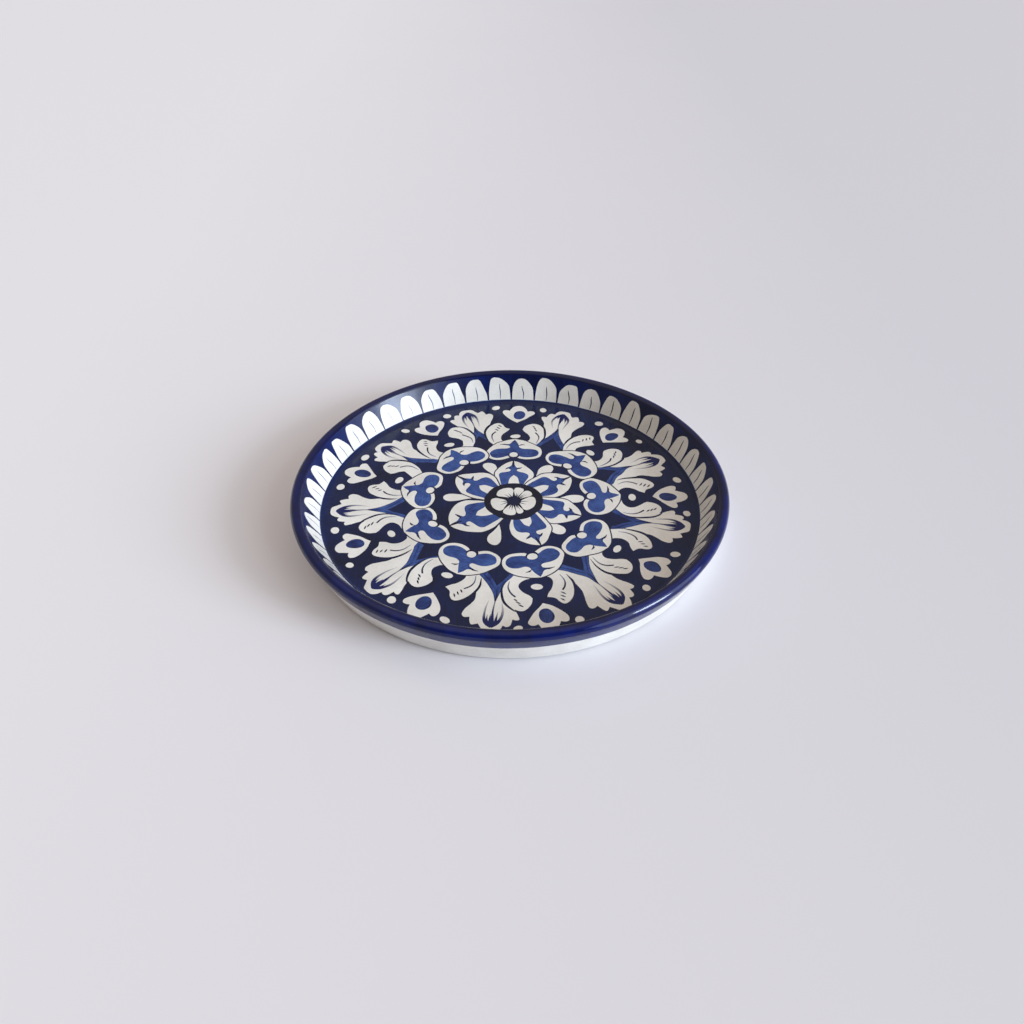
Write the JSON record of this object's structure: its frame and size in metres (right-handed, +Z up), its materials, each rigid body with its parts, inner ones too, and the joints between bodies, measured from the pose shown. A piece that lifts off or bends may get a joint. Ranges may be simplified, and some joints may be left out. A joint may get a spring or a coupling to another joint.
{
  "type": "serving plate",
  "caption": "Round earthenware plate with a flat well, low flared wall and rolled rim, hand painted with flowers and leaves on dark blue, white outside.",
  "frame": {"origin": "centre of the plate on the surface it stands on, at the bottom of the foot ring", "axes": "+Z up along the axis the plate was turned about, out of the well; +X to the viewer's right and -Y towards the viewer, which only the painted pattern tells apart"},
  "size_m": [0.3, 0.3, 0.0305],
  "materials": {
    "bare_clay": "matte",
    "painted_well": "gloss",
    "painted_petals": "gloss",
    "cobalt_glaze": "gloss",
    "white_glaze": "gloss"
  },
  "bodies": {
    "root": {"well_slab": "bare_clay", "side_wall": "bare_clay", "rolled_rim": "bare_clay", "foot_ring": "bare_clay", "well_glaze": "painted_well", "petal_band_glaze": "painted_petals", "rim_glaze": "cobalt_glaze", "outer_glaze": "white_glaze", "underside_glaze": "white_glaze"}
  },
  "joints": []
}
